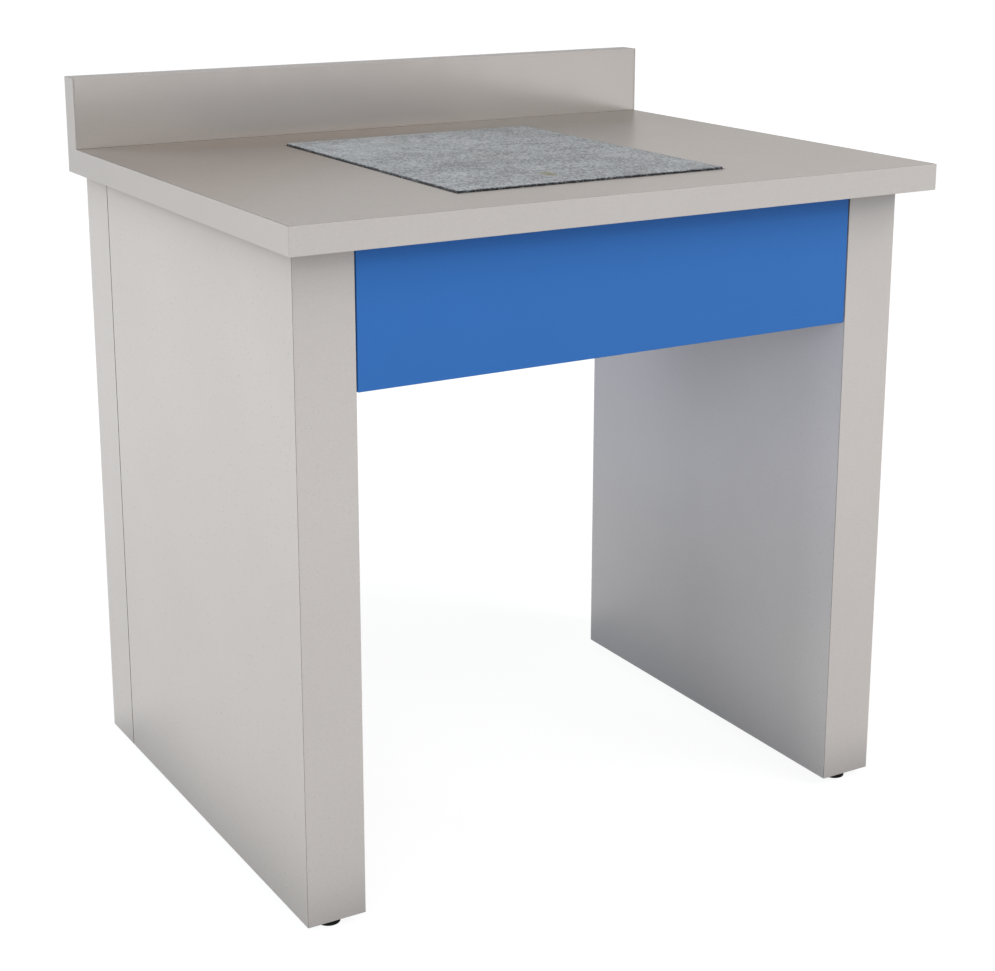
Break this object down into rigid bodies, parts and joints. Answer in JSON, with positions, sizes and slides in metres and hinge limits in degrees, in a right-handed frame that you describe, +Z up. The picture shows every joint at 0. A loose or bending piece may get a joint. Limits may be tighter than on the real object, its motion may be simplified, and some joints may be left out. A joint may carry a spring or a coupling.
{
  "type": "weighing table",
  "caption": "Laboratory weighing table: laminate worktop with a rear upstand on boxed legs, blue apron, and a stone slab set in a cut-out on its own inner stand.",
  "frame": {"origin": "on the floor, at the middle of the table's footprint", "axes": "+X to the right as the user stands before it, +Y to the rear where the upstand is, +Z up"},
  "size_m": [0.95, 0.75, 1.005],
  "materials": {
    "laminate": "satin",
    "apron_board": "satin",
    "bare_board": "matte",
    "stone": "satin",
    "black_plastic": "satin",
    "black_rubber": "matte",
    "painted_steel": "satin",
    "zinc_steel": "satin"
  },
  "bodies": {
    "table": {"worktop_panel": "laminate", "front_edge_band": "laminate", "left_end_band": "laminate", "right_end_band": "laminate", "upstand": "laminate", "rear_rail": "laminate", "left_outer_panel": "laminate", "left_inner_panel": "laminate", "left_front_board": "laminate", "left_rear_board": "laminate", "left_rear_cover": "laminate", "right_outer_panel": "laminate", "right_inner_panel": "laminate", "right_front_board": "laminate", "right_rear_board": "laminate", "right_rear_cover": "laminate", "apron": "apron_board", "left_top_board": "bare_board", "left_front_foot_block": "bare_board", "left_rear_foot_block": "bare_board", "right_top_board": "bare_board", "right_front_foot_block": "bare_board", "right_rear_foot_block": "bare_board", "left_front_buffer": "black_rubber", "left_rear_buffer": "black_rubber", "right_front_buffer": "black_rubber", "right_rear_buffer": "black_rubber", "stand_left_rail": "painted_steel", "stand_left_front_leg": "painted_steel", "stand_left_rear_leg": "painted_steel", "stand_right_rail": "painted_steel", "stand_right_front_leg": "painted_steel", "stand_right_rear_leg": "painted_steel", "stand_front_beam": "painted_steel", "stand_rear_beam": "painted_steel", "left_apron_bracket": "zinc_steel", "left_front_insert": "zinc_steel", "left_rear_insert": "zinc_steel", "right_apron_bracket": "zinc_steel", "right_front_insert": "zinc_steel", "right_rear_insert": "zinc_steel"},
    "slab": {"stone_slab": "stone"},
    "left_front_foot_pad": {"left_front_foot_pad": "black_plastic"},
    "left_front_foot_stem": {"left_front_foot_stem": "zinc_steel"},
    "stand_left_front_pad": {"stand_left_front_pad": "black_plastic"},
    "stand_left_front_stem": {"stand_left_front_stem": "zinc_steel"},
    "left_rear_foot_pad": {"left_rear_foot_pad": "black_plastic"},
    "left_rear_foot_stem": {"left_rear_foot_stem": "zinc_steel"},
    "stand_left_rear_pad": {"stand_left_rear_pad": "black_plastic"},
    "stand_left_rear_stem": {"stand_left_rear_stem": "zinc_steel"},
    "right_front_foot_pad": {"right_front_foot_pad": "black_plastic"},
    "right_front_foot_stem": {"right_front_foot_stem": "zinc_steel"},
    "stand_right_front_pad": {"stand_right_front_pad": "black_plastic"},
    "stand_right_front_stem": {"stand_right_front_stem": "zinc_steel"},
    "right_rear_foot_pad": {"right_rear_foot_pad": "black_plastic"},
    "right_rear_foot_stem": {"right_rear_foot_stem": "zinc_steel"},
    "stand_right_rear_pad": {"stand_right_rear_pad": "black_plastic"},
    "stand_right_rear_stem": {"stand_right_rear_stem": "zinc_steel"}
  },
  "joints": [
    {"name": "slab_lift", "type": "slide", "parent": "table", "child": "slab", "axis": [0, 0, 1], "range_m": [0, 0.1]},
    {"name": "left_front_foot_height", "type": "slide", "parent": "table", "child": "left_front_foot_pad", "axis": [0, 0, -1], "range_m": [0, 0.02]},
    {"name": "left_front_foot_turn", "type": "hinge", "parent": "left_front_foot_pad", "child": "left_front_foot_stem", "pos_m": [-0.41, -0.2997, 0], "axis": [0, 0, -1], "range_deg": [0, 4800]},
    {"name": "stand_left_front_height", "type": "slide", "parent": "table", "child": "stand_left_front_pad", "axis": [0, 0, -1], "range_m": [0, 0.02]},
    {"name": "stand_left_front_turn", "type": "hinge", "parent": "stand_left_front_pad", "child": "stand_left_front_stem", "pos_m": [-0.41, -0.2317, 0], "axis": [0, 0, -1], "range_deg": [0, 4800]},
    {"name": "left_rear_foot_height", "type": "slide", "parent": "table", "child": "left_rear_foot_pad", "axis": [0, 0, -1], "range_m": [0, 0.02]},
    {"name": "left_rear_foot_turn", "type": "hinge", "parent": "left_rear_foot_pad", "child": "left_rear_foot_stem", "pos_m": [-0.41, 0.2647, 0], "axis": [0, 0, -1], "range_deg": [0, 4800]},
    {"name": "stand_left_rear_height", "type": "slide", "parent": "table", "child": "stand_left_rear_pad", "axis": [0, 0, -1], "range_m": [0, 0.02]},
    {"name": "stand_left_rear_turn", "type": "hinge", "parent": "stand_left_rear_pad", "child": "stand_left_rear_stem", "pos_m": [-0.41, 0.1967, 0], "axis": [0, 0, -1], "range_deg": [0, 4800]},
    {"name": "right_front_foot_height", "type": "slide", "parent": "table", "child": "right_front_foot_pad", "axis": [0, 0, -1], "range_m": [0, 0.02]},
    {"name": "right_front_foot_turn", "type": "hinge", "parent": "right_front_foot_pad", "child": "right_front_foot_stem", "pos_m": [0.41, -0.2997, 0], "axis": [0, 0, -1], "range_deg": [0, 4800]},
    {"name": "stand_right_front_height", "type": "slide", "parent": "table", "child": "stand_right_front_pad", "axis": [0, 0, -1], "range_m": [0, 0.02]},
    {"name": "stand_right_front_turn", "type": "hinge", "parent": "stand_right_front_pad", "child": "stand_right_front_stem", "pos_m": [0.41, -0.2317, 0], "axis": [0, 0, -1], "range_deg": [0, 4800]},
    {"name": "right_rear_foot_height", "type": "slide", "parent": "table", "child": "right_rear_foot_pad", "axis": [0, 0, -1], "range_m": [0, 0.02]},
    {"name": "right_rear_foot_turn", "type": "hinge", "parent": "right_rear_foot_pad", "child": "right_rear_foot_stem", "pos_m": [0.41, 0.2647, 0], "axis": [0, 0, -1], "range_deg": [0, 4800]},
    {"name": "stand_right_rear_height", "type": "slide", "parent": "table", "child": "stand_right_rear_pad", "axis": [0, 0, -1], "range_m": [0, 0.02]},
    {"name": "stand_right_rear_turn", "type": "hinge", "parent": "stand_right_rear_pad", "child": "stand_right_rear_stem", "pos_m": [0.41, 0.1967, 0], "axis": [0, 0, -1], "range_deg": [0, 4800]}
  ],
  "couplings": [
    {"joint": "left_front_foot_turn", "follows": "left_front_foot_height", "rad_per_m": 4188.8},
    {"joint": "stand_left_front_turn", "follows": "stand_left_front_height", "rad_per_m": 4188.8},
    {"joint": "left_rear_foot_turn", "follows": "left_rear_foot_height", "rad_per_m": 4188.8},
    {"joint": "stand_left_rear_turn", "follows": "stand_left_rear_height", "rad_per_m": 4188.8},
    {"joint": "right_front_foot_turn", "follows": "right_front_foot_height", "rad_per_m": 4188.8},
    {"joint": "stand_right_front_turn", "follows": "stand_right_front_height", "rad_per_m": 4188.8},
    {"joint": "right_rear_foot_turn", "follows": "right_rear_foot_height", "rad_per_m": 4188.8},
    {"joint": "stand_right_rear_turn", "follows": "stand_right_rear_height", "rad_per_m": 4188.8}
  ]
}
